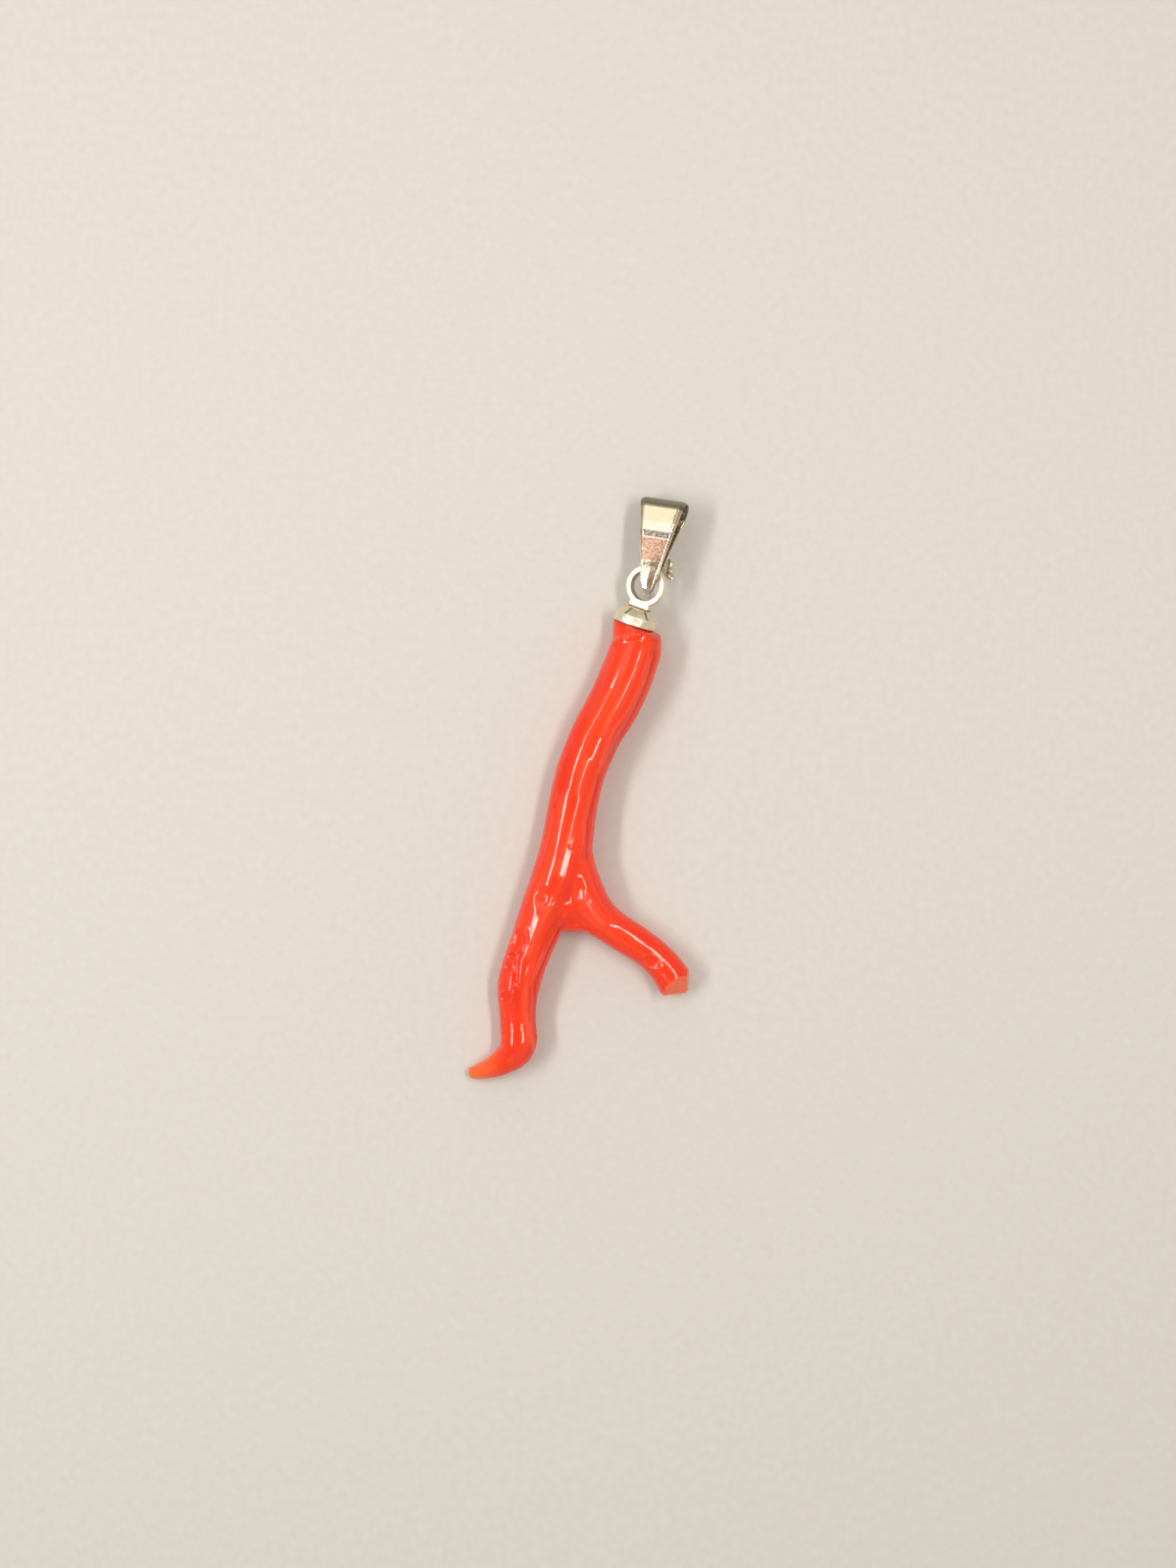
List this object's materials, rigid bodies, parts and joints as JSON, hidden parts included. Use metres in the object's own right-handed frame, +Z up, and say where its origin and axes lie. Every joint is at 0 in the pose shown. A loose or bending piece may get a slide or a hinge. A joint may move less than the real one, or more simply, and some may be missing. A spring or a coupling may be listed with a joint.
{
  "type": "red coral branch pendant",
  "caption": "Polished red coral branch with a fork, a hooked tip and a sawn side branch, capped in silver, with a soldered ring and a folded bail that swings.",
  "frame": {"origin": "bottom centre of the pendant's box, on the surface it lies on", "axes": "+X across the branch towards the side branch's end, +Y from the fork towards the bail, +Z up out of the surface"},
  "size_m": [0.0226, 0.0596, 0.0054],
  "materials": {
    "coral": "natural red coral, polished to a high gloss",
    "silver": "polished silver with a faint warm tarnish"
  },
  "bodies": {
    "pendant": {"coral_stem": "coral", "coral_hooked_branch": "coral", "coral_side_branch": "coral", "cap": "silver", "ring": "silver"},
    "bail": {"bail": "silver"}
  },
  "joints": [
    {"name": "bail_swing", "type": "hinge", "parent": "pendant", "child": "bail", "pos_m": [0.00737, 0.02227, 0.00343], "axis": [0.8735, -0.3514, 0.3368], "range_deg": [-50, 110]}
  ]
}
